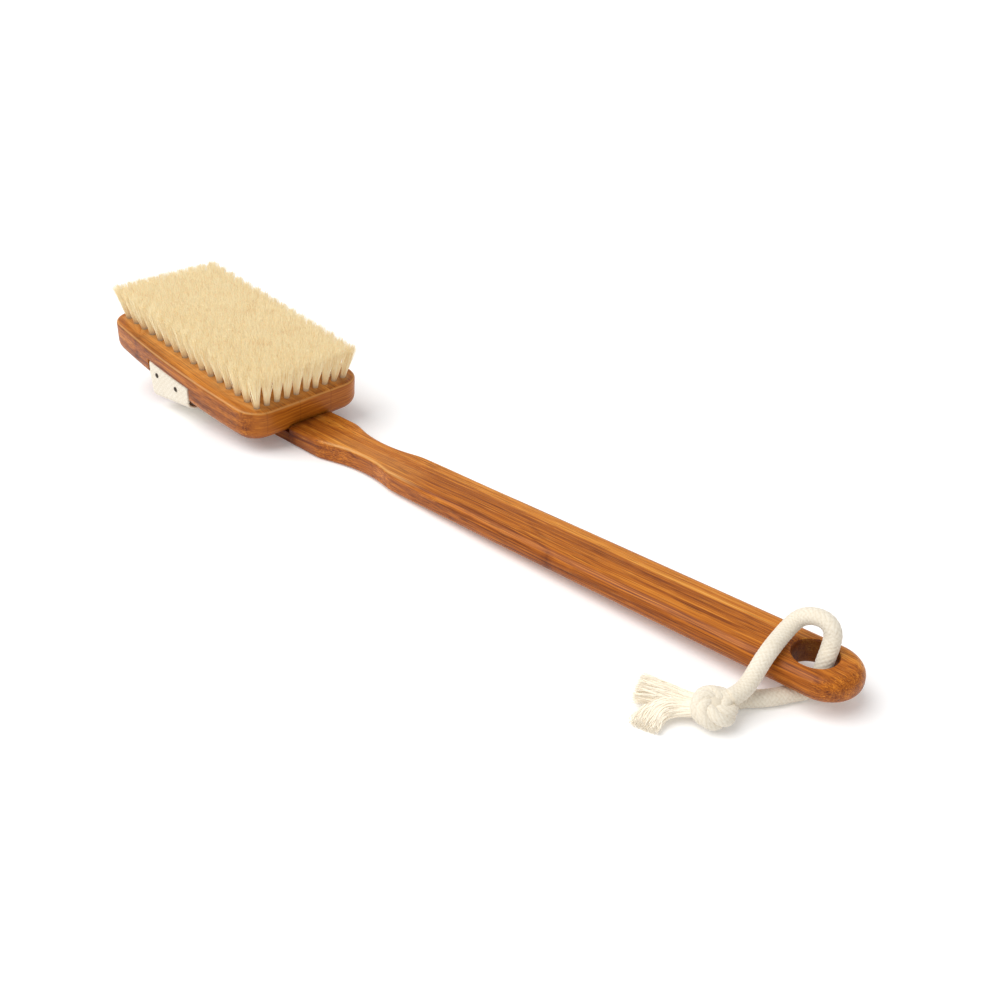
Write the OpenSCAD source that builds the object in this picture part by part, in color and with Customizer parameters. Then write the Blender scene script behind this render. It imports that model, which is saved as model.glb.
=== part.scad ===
// Body dry brush with a long detachable handle.
// Lies on its back, bristles up. +X runs from the head to the hanging end,
// +Z is up, and the origin is under the middle of the wooden parts.

/* [Head] */
// Length of the head block
head_l = 134; // [120:1:150]
// Width of the head block at its ends
head_w = 67.8; // [60:0.2:75]
// How far each long side bulges at mid length
side_bow = 3.6; // [2:0.1:5]
// Thickness of the head block
head_t = 17.2; // [15:0.1:20]
// Radius of the block's corners seen from above
corner_r = 12.5; // [8:0.5:16]
// Radius of the block's lower long edges
belly_r = 6; // [3:0.5:7]
// Radius of the lower edge at the two ends
bow_r = 8; // [4:0.5:9]
// Angle between the head and the handle
head_pitch = 7.8; // [6:0.1:9]
// Height of the head's back above the surface at the near end
head_lift = 5.2; // [5:0.1:7]

/* [Bristles] */
// Tufts in each long row across the head
tufts_across = 10; // [8:1:11]
// Number of long rows
row_count = 16; // [12:1:16]
// Width between the outer tufts of a long row
field_w = 52.8; // [44:0.2:54]
// Distance from the near end of the block to the first row
near_margin = 7.2; // [6:0.2:10]
// Distance from the far end of the block to the last row
far_margin = 7.6; // [6:0.2:10]
// Bristle length above the block
bristle_h = 18.8; // [12:0.2:24]
// Radius of a tuft where it leaves the block
tuft_r = 1.55; // [1.2:0.05:1.6]
// Radius of a tuft at its cut end
tuft_tip_r = 2.25; // [1.6:0.05:2.3]
// How far the outermost tufts lean outward at their tips
splay = 2.6; // [0:0.1:3.5]
// Depth of the drilled tuft holes
hole_depth = 8; // [6:0.5:9]

/* [Hand strap] */
// Width of the cotton webbing
strap_w = 36.4; // [30:0.2:40]
// Thickness of the webbing
strap_t = 1.6; // [1.2:0.1:2]
// Height of the strap's lowest part above the surface
strap_z = 4.8; // [4:0.1:5.4]

/* [Handle] */
// Length of the handle outside the head
handle_l = 298; // [250:1:340]
// Width of the flat plate beside the head
plate_w = 26.2; // [25:0.2:30]
// Width of the long grip
grip_w = 25.8; // [24:0.2:30]
// Width of the grip where it leaves the waist
shoulder_w = 22; // [20:0.2:23]
// Width of the waist
waist_w = 16; // [14:0.2:18]
// Thickness of the handle
handle_t = 10.5; // [10:0.1:12]
// Edge radius of the grip
edge_r = 4.6; // [3:0.1:4.8]
// Edge radius of the plate and the waist
flat_edge_r = 2; // [1.5:0.1:2.6]
// Length of the dovetail tongue in the head
tongue_l = 46; // [40:1:47]
// Slope of the grip above the surface
grip_slope = 1.45; // [1.4:0.01:2]
// Radius of the hanging hole
hang_r = 7.7; // [7.6:0.1:8]
// Distance from the handle's tip to the middle of the hanging hole
hang_back = 17.2; // [16:0.1:20]

/* [Hanging cord] */
// Diameter of the cotton cord
cord_d = 6; // [5:0.1:6]
// Sides of the cord's section
cord_sides = 12; // [8:1:16]
// Radius of the knot
knot_r = 7; // [6.6:0.1:8]

/* [Hidden] */

bamboo = [0.78, 0.46, 0.20];
bamboo_light = [0.83, 0.52, 0.24];
bristle = [0.95, 0.88, 0.70];
cotton = [0.96, 0.94, 0.89];
wire = [0.72, 0.72, 0.70];
nail_grey = [0.25, 0.24, 0.23];

head_x = -83.0;                     // lower edge of the near end face
tip_x = head_x + handle_l;          // handle's tip
hang_x = tip_x - hang_back;         // middle of the hanging hole
mitre_x = -50;                      // the level plate ends, the grip starts to rise
waist_x = -31.5;                    // narrowest point of the waist
waist_cut_r = 80;                   // radius of the waist's hollow sides
taper_x = 55;                       // where the grip reaches its full width
taper_a = atan((grip_w - shoulder_w) / 2 / (taper_x + 5));
row_pitch = (head_l - near_margin - far_margin) / (row_count - 1);
tuft_pitch = field_w / (tufts_across - 1);
bow_rad = (pow(head_l / 2, 2) + pow(side_bow, 2)) / (2 * side_bow);
half_w = head_w / 2 + side_bow;     // half width at mid length
corner_v = half_w - pow(head_l / 2 - corner_r - 0.9, 2) / (2 * bow_rad); // where the corners start
notch_v = half_w - 3.5;             // floor of the strap notches
tab_v = half_w - 0.5;               // outer face of the strap's tabs
strap_u0 = -89.4;                   // far edge of the strap
strap_u1 = strap_u0 + strap_w;      // near edge of the strap
nail_us = [-82.5, -64.5];
nail_w = 4.4;
groove_l = tongue_l + 1;
groove_d = 4.1;

// Places a child given in the head's own axes: u along the head with 0 at the
// near end, v across, w up from the back.
module on_head() {
    translate([head_x, 0, head_lift]) rotate([0, head_pitch, 0]) children();
}

// Places a child given in the grip's own axes, which start at the mitre.
module on_grip() {
    translate([mitre_x, 0, 0]) rotate([0, -grip_slope, 0]) children();
}

// Rectangle a by b with rounded corners, lower left corner at the origin.
module rounded(a, b, r) {
    translate([r, 0]) square([a - 2 * r, b]);
    translate([0, r]) square([a, b - 2 * r]);
    for (x = [r, a - r], y = [r, b - r]) translate([x, y]) circle(r = r, $fn = 64);
}

// Half of a rim section of radius big: rounded below by lo and above by hi.
module rim(big, t, lo, hi) {
    square([big - lo, t]);
    translate([0, lo]) square([big, t - lo - hi]);
    square([big - hi - lo, t]);
    translate([big - lo, lo]) circle(r = lo, $fn = 64);
    translate([big - hi, t - hi]) circle(r = hi, $fn = 48);
    translate([big - lo - 1, lo]) square([lo + 1 - hi, t - lo]);
}

// ---------- head block ----------

module block_body() {
    intersection() {
        // bowed long sides with rounded rims
        for_side(1);
        for_side(-1);
        // rounded corners seen from above, where the bowed sides run into them
        linear_extrude(height = head_t) {
            translate([-head_l, -corner_v]) rounded(head_l, 2 * corner_v, corner_r);
            translate([-head_l + corner_r + 0.9, -half_w - 5])
                square([head_l - 2 * corner_r - 1.8, 2 * half_w + 10]);
        }
        // lower edges of the two ends
        translate([-head_l, half_w + 5, 0]) rotate([90, 0, 0])
            linear_extrude(height = 2 * half_w + 10) end_profile();
    }
}

module for_side(s) {
    translate([-head_l / 2, -s * (bow_rad - half_w), 0])
        rotate_extrude($fn = 720) rim(bow_rad, head_t, belly_r, 1.5);
}

module end_profile() {
    translate([bow_r, 0]) square([head_l - 2 * bow_r, head_t]);
    translate([0, bow_r]) square([head_l, head_t - bow_r - 1.5]);
    for (x = [bow_r, head_l - bow_r]) translate([x, bow_r]) circle(r = bow_r, $fn = 64);
    translate([1.5, bow_r]) square([head_l - 3, head_t - bow_r]);
    for (x = [1.5, head_l - 1.5]) translate([x, head_t - 1.5]) circle(r = 1.5, $fn = 48);
}

// Dovetail section: half width a at the mouth, b at depth d.
module dovetail(a, b, d, below) {
    polygon([[-a, -below], [a, -below], [a, 0], [b, d], [-b, d], [-a, 0]]);
}

function row_u(i) = -near_margin - i * row_pitch;
function long_v(k) = -field_w / 2 + k * tuft_pitch;
function short_v(k) = -field_w / 2 + (k + 0.5) * tuft_pitch;

// Every tuft of row group i as [u, v]: a long row, then the short row behind it.
function group_tufts(i) = concat(
    [for (k = [0 : tufts_across - 1]) [row_u(i), long_v(k)]],
    i < row_count - 1 ? [for (k = [0 : tufts_across - 2]) [row_u(i + 0.5), short_v(k)]] : []);

// Angles by which the tuft at u, v leans outward, growing towards the edges.
function lean_u(u) = let (c = (u + head_l / 2) / (head_l / 2 - 7)) atan(splay * c * abs(c) / bristle_h);
function lean_v(v) = let (c = v / (field_w / 2)) atan(splay * c * abs(c) / bristle_h);

// Places a child on the axis of the tuft at p = [u, v], with its height 0 at
// the block's upper face. Holes, tufts and wires all share this axis.
module on_tuft(p) {
    translate([p[0], p[1], head_t]) rotate([-lean_v(p[1]), lean_u(p[0]), 0]) children();
}

module head_block() {
    color(bamboo) on_head() difference() {
        block_body();
        // tuft holes, drilled fanwise
        for (i = [0 : row_count - 1], p = group_tufts(i))
            on_tuft(p) translate([0, 0, -hole_depth])
                cylinder(r = tuft_r + 0.05, h = hole_depth + 1, $fn = 24);
        // dovetail groove for the handle's tongue, open at the near end
        translate([-groove_l, 0, 0]) rotate([90, 0, 90])
            linear_extrude(height = groove_l + 5)
                dovetail(10.2, 12.25, groove_d, 3);
        // strap notches and nail holes
        for (s = [-1, 1]) {
            translate([strap_u0 - 1.2, s > 0 ? notch_v : -notch_v - 10, -1])
                cube([strap_w + 2.6, 10, 11.7]);
            for (u = nail_us)
                translate([u, s * (notch_v - 10.2), nail_w]) rotate([-s * 90, 0, 0])
                    cylinder(r = 0.72, h = 12, $fn = 24);
        }
    }
}

// ---------- bristles ----------

// One tuft: a round root in its hole that flares into the bundle above the
// block, with a slot at its foot where the wire holds it.
module tuft(p) {
    on_tuft(p) difference() {
        rotate_extrude($fn = 24)
            polygon([[0, -hole_depth + 0.1], [tuft_r, -hole_depth + 0.1], [tuft_r, 0],
                [tuft_tip_r, bristle_h], [0, bristle_h]]);
        translate([-0.4, -5, -hole_depth - 1]) cube([0.8, 10, 2.1]);
    }
}

module tuft_row(i) {
    color(bristle) on_head() for (p = group_tufts(i)) tuft(p);
}

// Short wires that pin every tuft to the bottom of its hole. Each one bites
// into the wood on both sides of the hole.
module anchor_wires() {
    color(wire) on_head()
        for (i = [0 : row_count - 1], p = group_tufts(i))
            on_tuft(p) translate([0, -2.1, -hole_depth + 0.65]) rotate([-90, 0, 0])
                cylinder(r = 0.3, h = 4.2, $fn = 16);
}

// ---------- hand strap ----------

// Lower run of the webbing: a shallow trough with elliptical corners.
function trough(leg, rx, ry, top) = concat(
    [[leg, top]],
    [for (a = [0 : 7.5 : 90]) [leg - rx + rx * cos(a), strap_z + 7 - ry * sin(a)]],
    [for (a = [90 : -7.5 : 0]) [-(leg - rx + rx * cos(a)), strap_z + 7 - ry * sin(a)]],
    [[-leg, top]]);

module hand_strap() {
    leg_in = tab_v - strap_t;
    color(cotton) difference() {
        union() {
            translate([head_x - 87.6, 0, 0]) rotate([90, 0, 90])
                linear_extrude(height = 35) difference() {
                    polygon(trough(tab_v, 10, 7, 22));
                    polygon(trough(leg_in, 10 - strap_t, 7 - strap_t, 23));
                }
            // folded ends, two layers thick, in the notches
            on_head() for (s = [-1, 1])
                translate([strap_u0, s > 0 ? notch_v + 0.05 : -tab_v, 1.5])
                    cube([strap_w, tab_v - notch_v - 0.05, 8.8]);
        }
        on_head() for (s = [-1, 1], u = nail_us)
            translate([u, s * (notch_v - 2), nail_w]) rotate([-s * 90, 0, 0])
                cylinder(r = 0.8, h = 10, $fn = 24);
    }
}

module strap_nails() {
    color(nail_grey) on_head() for (s = [-1, 1], u = nail_us)
        translate([u, s * tab_v, nail_w]) rotate([-s * 90, 0, 0]) {
            translate([0, 0, -13]) cylinder(r = 0.7, h = 13.1, $fn = 24);
            translate([0, 0, 0.02]) cylinder(r = 1.3, h = 0.35, $fn = 32);
            translate([0, 0, 0.37]) cylinder(r1 = 1.3, r2 = 0.7, h = 0.35, $fn = 32);
        }
}

// ---------- handle ----------

module handle_section(w, r) {
    translate([-w / 2, 0]) rounded(w, handle_t, r);
}

// Ring whose rim hollows out one side of the waist and leaves its edges round.
module waist_cutter(s) {
    translate([waist_x, s * (waist_cut_r + waist_w / 2), handle_t / 2])
        rotate_extrude($fn = 256) difference() {
            translate([0, -handle_t]) square([waist_cut_r + flat_edge_r, 2 * handle_t]);
            translate([waist_cut_r, -handle_t / 2]) rounded(30, handle_t, flat_edge_r);
        }
}

// Straight cutter that narrows one side of the grip towards the waist and
// leaves its edge round.
module taper_cutter() {
    translate([taper_x, grip_w / 2, 0]) rotate([0, 0, taper_a])
        translate([-110, 0, 0]) rotate([90, 0, 90]) linear_extrude(height = 114)
            difference() {
                translate([-edge_r, -1]) square([edge_r + 10, handle_t + 2]);
                translate([-30, 0]) rounded(30, handle_t, edge_r);
            }
}

module grip() {
    end_x = handle_l + head_x - mitre_x - grip_w / 2;
    difference() {
        union() {
            translate([-3, 0, 0]) rotate([90, 0, 90])
                linear_extrude(height = end_x + 3) handle_section(grip_w, edge_r);
            translate([end_x, 0, 0]) rotate_extrude($fn = 128)
                intersection() {
                    handle_section(grip_w, edge_r);
                    translate([0, -1]) square([grip_w, handle_t + 2]);
                }
        }
        translate([-mitre_x, 0, 0]) {
            waist_cutter(1);
            waist_cutter(-1);
            taper_cutter();
            mirror([0, 1, 0]) taper_cutter();
        }
        // hanging hole with eased rims
        translate([hang_x - mitre_x, 0, -1]) cylinder(r = hang_r, h = handle_t + 2, $fn = 96);
        translate([hang_x - mitre_x, 0, -0.1])
            cylinder(r1 = hang_r + 0.9, r2 = hang_r, h = 0.9, $fn = 96);
        translate([hang_x - mitre_x, 0, handle_t - 0.8])
            cylinder(r1 = hang_r, r2 = hang_r + 0.9, h = 0.9, $fn = 96);
        // the grip starts at the mitre
        rotate([0, grip_slope / 2, 0]) translate([-20, -40, -20]) cube([20, 80, 60]);
    }
}

module plate() {
    difference() {
        translate([head_x - 20, 0, 0]) rotate([90, 0, 90])
            linear_extrude(height = mitre_x - head_x + 25) handle_section(plate_w, flat_edge_r);
        waist_cutter(1);
        waist_cutter(-1);
        // end face that meets the head
        on_head() translate([0.25 - 40, -40, -40]) cube([40, 80, 80]);
        // the plate ends at the mitre
        translate([mitre_x, 0, 0]) rotate([0, -grip_slope / 2, 0])
            translate([0, -40, -20]) cube([40, 80, 60]);
    }
}

// Part of the tongue below the head's back, ramped towards its free end.
module tongue_rider() {
    intersection() {
        on_head() translate([-tongue_l, -11.8, -30]) cube([tongue_l + 1.2, 23.6, 29.8]);
        translate([0, 15, 0]) rotate([90, 0, 0]) linear_extrude(height = 30)
            polygon([[head_x + 4, 0], [head_x - 18, 0], [head_x - tongue_l - 2, 13.2],
                [head_x - tongue_l - 2, 30], [head_x + 4, 30]]);
    }
}

module handle() {
    color(bamboo_light) union() {
        plate();
        on_grip() grip();
        tongue_rider();
        on_head() translate([-tongue_l, 0, 0]) rotate([90, 0, 90])
            linear_extrude(height = tongue_l + 1) dovetail(10, 12, 3.9, 1);
    }
}

// ---------- hanging cord ----------

// Route of the cord: out of the knot, along the surface, under the handle, up
// through the hole, over the handle and back down into the knot.
knot = [182.8, -36.9, knot_r + 0.05];
route = [
    [182.2, -31.2, 4.3], [182.7, -28.2, 3.4], [183.7, -25.2, 3.05], [185.0, -22.7, 3.05],
    [186.6, -20.7, 3.05], [188.4, -18.8, 3.05], [190.2, -16.7, 3.05], [191.9, -14.4, 3.05],
    [193.4, -12.0, 3.05], [194.8, -9.6, 3.05], [196.3, -7.0, 3.05], [198.1, -4.5, 3.25],
    [199.7, -2.7, 4.9], [200.7, -1.6, 8.0], [201.1, -0.8, 12.0], [201.1, 0.7, 16.0],
    [200.9, 2.7, 19.4], [200.5, 4.1, 22.6], [199.4, 4.6, 25.2], [197.1, 4.8, 26.9],
    [194.2, 4.7, 27.2], [191.2, 4.4, 26.4], [188.6, 3.6, 24.7], [187.1, 1.4, 22.7],
    [186.6, -2.4, 21.0], [186.7, -7.2, 20.0], [187.1, -12.2, 19.2], [187.0, -15.9, 17.1],
    [186.9, -18.9, 14.6], [186.9, -22.2, 12.3], [186.8, -25.6, 10.8], [186.2, -28.8, 10.0],
    [185.3, -31.8, 9.6]];
tail_a = [[176.8, -36.6, 5.6], [172.6, -37.2, 4.5], [168.6, -38.2, 4.1], [164.4, -39.4, 4.2],
    [160.2, -40.6, 4.3], [156.2, -41.9, 4.4]];
tail_b = [[177.6, -39.6, 5.4], [173.2, -42.0, 4.4], [170.4, -44.4, 4.1], [168.5, -47.2, 4.2],
    [167.5, -50.2, 4.3], [167.4, -53.2, 4.4], [168.0, -55.8, 4.4]];

function unit(v) = v / norm(v);
// Point at t on a smooth curve through the list p, t from 0 to len(p) - 1.
function at(p, t) =
    let (n = len(p), i = min(floor(t), n - 2), f = t - i,
        a = p[max(i - 1, 0)], b = p[i], c = p[i + 1], d = p[min(i + 2, n - 1)])
    0.5 * ((2 * b) + (c - a) * f + (2 * a - 5 * b + 4 * c - d) * f * f
        + (3 * b - a - 3 * c + d) * f * f * f);
function smooth(p, step) = [for (t = [0 : step : len(p) - 1 + 0.0001]) at(p, min(t, len(p) - 1))];
function tangent(q, i) = unit(q[min(i + 1, len(q) - 1)] - q[max(i - 1, 0)]);
// Side direction of each ring, carried along the curve without twisting.
function sides(q, i, prev) =
    let (t = tangent(q, i), s = unit(prev - t * (prev * t)))
    i == len(q) - 1 ? [s] : concat([s], sides(q, i + 1, s));

// Tube along the points q with radius r0 at the start and r1 at the end.
module tube(q, r0, r1, n) {
    m = len(q);
    seed = abs(tangent(q, 0)[2]) > 0.8 ? [1, 0, 0] : [0, 0, 1];
    sd = sides(q, 0, seed);
    pts = [for (i = [0 : m - 1]) let (t = tangent(q, i), s = sd[i], w = cross(t, s),
            r = r0 + (r1 - r0) * i / (m - 1))
        for (k = [0 : n - 1]) q[i] + r * (cos(360 * k / n) * s + sin(360 * k / n) * w)];
    faces = concat(
        [[for (k = [0 : n - 1]) k]],
        [for (i = [0 : m - 2], k = [0 : n - 1])
            [i * n + k, (i + 1) * n + k, (i + 1) * n + (k + 1) % n, i * n + (k + 1) % n]],
        [[for (k = [n - 1 : -1 : 0]) (m - 1) * n + k]]);
    polyhedron(points = pts, faces = faces, convexity = 6);
}

module hanging_cord() {
    color(cotton) tube(smooth(route, 0.5), cord_d / 2, cord_d / 2, cord_sides);
}

module cord_knot() {
    color(cotton) translate(knot) sphere(r = knot_r, $fn = 64);
}

module cord_tail_a() {
    color(cotton) tube(smooth(tail_a, 0.5), 3, 4.3, cord_sides);
}

module cord_tail_b() {
    color(cotton) tube(smooth(tail_b, 0.5), 3, 4.3, cord_sides);
}

head_block();
tuft_row(0);  // tuft_row_01
tuft_row(1);  // tuft_row_02
tuft_row(2);  // tuft_row_03
tuft_row(3);  // tuft_row_04
tuft_row(4);  // tuft_row_05
tuft_row(5);  // tuft_row_06
tuft_row(6);  // tuft_row_07
tuft_row(7);  // tuft_row_08
tuft_row(8);  // tuft_row_09
tuft_row(9);  // tuft_row_10
tuft_row(10);  // tuft_row_11
tuft_row(11);  // tuft_row_12
tuft_row(12);  // tuft_row_13
tuft_row(13);  // tuft_row_14
tuft_row(14);  // tuft_row_15
tuft_row(15);  // tuft_row_16
anchor_wires();
hand_strap();
strap_nails();
handle();
hanging_cord();
cord_knot();
cord_tail_a();
cord_tail_b();
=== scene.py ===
import math

import bpy
import bmesh
import numpy as np
from mathutils import Matrix, Vector


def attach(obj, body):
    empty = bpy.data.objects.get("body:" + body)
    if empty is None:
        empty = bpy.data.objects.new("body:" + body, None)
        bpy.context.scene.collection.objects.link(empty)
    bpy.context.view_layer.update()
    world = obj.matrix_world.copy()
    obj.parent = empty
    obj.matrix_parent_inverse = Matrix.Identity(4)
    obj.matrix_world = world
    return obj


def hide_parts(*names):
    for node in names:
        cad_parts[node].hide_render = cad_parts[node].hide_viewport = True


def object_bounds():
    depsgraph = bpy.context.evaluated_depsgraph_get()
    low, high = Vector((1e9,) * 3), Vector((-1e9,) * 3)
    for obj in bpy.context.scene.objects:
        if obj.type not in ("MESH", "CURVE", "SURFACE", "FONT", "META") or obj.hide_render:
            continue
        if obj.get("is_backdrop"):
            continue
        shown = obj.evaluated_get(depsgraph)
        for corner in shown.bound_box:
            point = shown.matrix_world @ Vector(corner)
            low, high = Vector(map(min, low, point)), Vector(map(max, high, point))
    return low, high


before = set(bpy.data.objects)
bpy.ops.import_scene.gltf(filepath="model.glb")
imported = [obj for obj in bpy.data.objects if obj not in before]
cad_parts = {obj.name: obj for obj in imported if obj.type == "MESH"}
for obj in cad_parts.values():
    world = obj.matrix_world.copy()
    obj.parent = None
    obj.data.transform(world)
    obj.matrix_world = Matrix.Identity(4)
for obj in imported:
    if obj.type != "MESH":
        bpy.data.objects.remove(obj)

CAD_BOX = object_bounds()
MM = 0.001
RNG = np.random.default_rng(11)
SCENE = bpy.context.scene

# ---------------------------------------------------------------- frames

PITCH = math.radians(7.8)       # between the head and the handle
LIFT = 5.2                      # head's back above the floor at the near end
HEAD_X = -83.0
MITRE_X = -50.0
SLOPE = math.radians(1.45)      # of the grip above the floor
HEAD_T = 17.2


def on_head(p):
    """Points given along, across and above the head's back, in mm, to the row frame in mm."""
    p = np.asarray(p, float)
    c, s = math.cos(PITCH), math.sin(PITCH)
    return np.stack([HEAD_X + p[..., 0] * c + p[..., 2] * s, p[..., 1],
                     LIFT - p[..., 0] * s + p[..., 2] * c], -1)


def on_grip(p):
    p = np.asarray(p, float)
    c, s = math.cos(SLOPE), math.sin(SLOPE)
    return np.stack([MITRE_X + p[..., 0] * c - p[..., 2] * s, p[..., 1],
                     p[..., 0] * s + p[..., 2] * c], -1)


def smooth_line(p, step):
    """Catmull-Rom through the points, as the CAD route is drawn."""
    p = np.asarray(p, float)
    n = len(p)
    out = []
    for t in np.arange(0, n - 1 + 1e-6, step):
        i = min(int(t), n - 2)
        f = t - i
        a, b, c, d = p[max(i - 1, 0)], p[i], p[i + 1], p[min(i + 2, n - 1)]
        out.append(0.5 * (2 * b + (c - a) * f + (2 * a - 5 * b + 4 * c - d) * f * f
                          + (3 * b - a - 3 * c + d) * f ** 3))
    return np.array(out)


def even(p, step):
    """The line p with points an even step apart."""
    s = np.concatenate([[0], np.cumsum(np.linalg.norm(np.diff(p, axis=0), axis=1))])
    n = max(2, int(round(s[-1] / step)) + 1)
    at = np.linspace(0, s[-1], n)
    return np.stack([np.interp(at, s, p[:, k]) for k in range(3)], -1), at


def carried_frames(p, seed=(0, 0, 1)):
    """Tangents and two side directions along p, carried without twisting."""
    t = np.gradient(p, axis=0)
    t /= np.linalg.norm(t, axis=1)[:, None]
    a = np.zeros_like(t)
    prev = np.asarray(seed, float)
    if abs(prev @ t[0]) > 0.9:
        prev = np.array([1.0, 0, 0])
    for i in range(len(p)):
        prev = prev - t[i] * (prev @ t[i])
        prev /= np.linalg.norm(prev)
        a[i] = prev
    return t, a, np.cross(t, a)


def smoothstep(a, b, x):
    f = np.clip((x - a) / (b - a), 0, 1)
    return f * f * (3 - 2 * f)


# ---------------------------------------------------------------- meshes


def mesh_object(name, verts_mm, polys, smooth=True, angle=None, attrs=None):
    """polys is a list of index arrays, each (n, corners)."""
    me = bpy.data.meshes.new(name)
    v = np.asarray(verts_mm, np.float32).reshape(-1, 3) * MM
    loops = np.concatenate([np.asarray(q, np.int32).ravel() for q in polys])
    counts = np.concatenate([np.full(len(q), np.asarray(q).shape[1], np.int32) for q in polys])
    starts = np.concatenate([[0], np.cumsum(counts)[:-1]]).astype(np.int32)
    me.vertices.add(len(v))
    me.vertices.foreach_set("co", v.ravel())
    me.loops.add(len(loops))
    me.loops.foreach_set("vertex_index", loops)
    me.polygons.add(len(counts))
    me.polygons.foreach_set("loop_start", starts)
    me.polygons.foreach_set("loop_total", counts)
    for key, value in (attrs or {}).items():
        at = me.attributes.new(key, "FLOAT", "POINT")
        at.data.foreach_set("value", np.asarray(value, np.float32).ravel())
    me.update(calc_edges=True)
    me.validate()
    me.polygons.foreach_set("use_smooth", np.full(len(me.polygons), smooth))
    ob = bpy.data.objects.new(name, me)
    SCENE.collection.objects.link(ob)
    if angle is not None:
        sharpen(ob, angle)
    return ob


def sharpen(ob, degrees):
    """Marks the edges sharper than the angle, so that smooth shading stops there."""
    bm = bmesh.new()
    bm.from_mesh(ob.data)
    for e in bm.edges:
        e.smooth = e.is_manifold and e.calc_face_angle(0) < math.radians(degrees)
    for f in bm.faces:
        f.smooth = True
    bm.to_mesh(ob.data)
    bm.free()


def tube_grid(p, r, sides, relief=None, turn=0.0, seed=(0, 0, 1)):
    """Vertices and faces of one closed tube. r is a number or one per point, relief(angle, length) is added to it."""
    t, a, b = carried_frames(p, seed)
    s = np.concatenate([[0], np.cumsum(np.linalg.norm(np.diff(p, axis=0), axis=1))])
    ang = 2 * math.pi * np.arange(sides) / sides
    rr = np.broadcast_to(np.asarray(r, float).reshape(-1, 1), (len(p), 1)).copy()
    rr = rr + (relief(ang[None, :] + turn * s[:, None], s[:, None]) if relief else 0 * ang[None, :])
    v = p[:, None] + rr[..., None] * (np.cos(ang)[None, :, None] * a[:, None] + np.sin(ang)[None, :, None] * b[:, None])
    m = len(p)
    i, k = np.meshgrid(np.arange(m - 1), np.arange(sides), indexing="ij")
    k2 = (k + 1) % sides
    quads = np.stack([i * sides + k, i * sides + k2, (i + 1) * sides + k2, (i + 1) * sides + k], -1).reshape(-1, 4)
    # the ends close on a middle point
    v = np.concatenate([v.reshape(-1, 3), [p[0], p[-1]]])
    k = np.arange(sides)
    caps = np.concatenate([
        np.stack([np.full(sides, m * sides), (k + 1) % sides, k], -1),
        np.stack([np.full(sides, m * sides + 1), (m - 1) * sides + k, (m - 1) * sides + (k + 1) % sides], -1)])
    return v, quads, caps


def many_tubes(p, r, sides, ref):
    """Tubes along p (n, m, 3) with radii r (n, m). ref is a direction that none of them runs along."""
    n, m, _ = p.shape
    t = np.gradient(p, axis=1)
    t /= np.linalg.norm(t, axis=2)[..., None]
    a = np.cross(t, np.asarray(ref, float))
    a /= np.linalg.norm(a, axis=2)[..., None]
    b = np.cross(t, a)
    ang = (2 * math.pi * np.arange(sides) / sides)[None, :] + RNG.uniform(0, 6.28, n)[:, None]
    v = (p[:, :, None] + r[:, :, None, None] * (np.cos(ang)[:, None, :, None] * a[:, :, None]
                                               + np.sin(ang)[:, None, :, None] * b[:, :, None]))
    i, j, k = np.meshgrid(np.arange(n), np.arange(m - 1), np.arange(sides), indexing="ij")
    k2 = (k + 1) % sides
    f = lambda jj, kk: (i * m + jj) * sides + kk
    quads = np.stack([f(j, k), f(j, k2), f(j + 1, k2), f(j + 1, k)], -1).reshape(-1, 4)
    i = np.arange(n)[:, None]
    k = np.arange(sides)[None, :]
    caps = np.concatenate([(i * m) * sides + k[:, ::-1], (i * m + m - 1) * sides + k])
    return v.reshape(-1, 3), quads, caps


def joined(parts):
    """Several (verts, [polys]) as one, with the indices moved on."""
    vs, ps, n = [], [], 0
    for v, polys in parts:
        vs.append(v)
        ps += [np.asarray(q) + n for q in polys]
        n += len(v)
    return np.concatenate(vs), ps


def cut(ob, tool, how="DIFFERENCE"):
    """Applies one exact boolean and drops the tool."""
    m = ob.modifiers.new("cut", "BOOLEAN")
    m.operation, m.object, m.solver = how, tool, "EXACT"
    bpy.context.view_layer.update()
    dg = bpy.context.evaluated_depsgraph_get()
    me = bpy.data.meshes.new_from_object(ob.evaluated_get(dg))
    ob.modifiers.clear()
    old = ob.data
    ob.data = me
    me.name = ob.name
    bpy.data.meshes.remove(old)
    bpy.data.objects.remove(tool, do_unlink=True)
    return ob


def box_tool(name, lo, hi, place=lambda p: p):
    c = np.array([[x, y, z] for x in (lo[0], hi[0]) for y in (lo[1], hi[1]) for z in (lo[2], hi[2])], float)
    f = np.array([[0, 1, 3, 2], [4, 6, 7, 5], [0, 4, 5, 1], [2, 3, 7, 6], [0, 2, 6, 4], [1, 5, 7, 3]])
    return mesh_object(name, place(c), [f], smooth=False)


def prism_tool(name, outline, place):
    """Closed prism: outline is (n, 3) at one end, and place maps it with 0 or 1 to each end."""
    a, b = place(outline, 0), place(outline, 1)
    n = len(outline)
    k = np.arange(n)
    side = np.stack([k, (k + 1) % n, n + (k + 1) % n, n + k], -1)
    return mesh_object(name, np.concatenate([a, b]), [side, k[::-1][None], (n + k)[None]], smooth=False)


def fix_normals(ob):
    bm = bmesh.new()
    bm.from_mesh(ob.data)
    bmesh.ops.remove_doubles(bm, verts=bm.verts, dist=2e-6)
    bmesh.ops.recalc_face_normals(bm, faces=bm.faces)
    bm.to_mesh(ob.data)
    bm.free()


# ---------------------------------------------------------------- materials


def lin(r, g, b):
    """sRGB 0 to 255, as linear colour."""
    f = lambda c: (c / 255 / 12.92) if c <= 10 else ((c / 255 + 0.055) / 1.055) ** 2.4
    return (f(r), f(g), f(b), 1.0)


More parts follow.
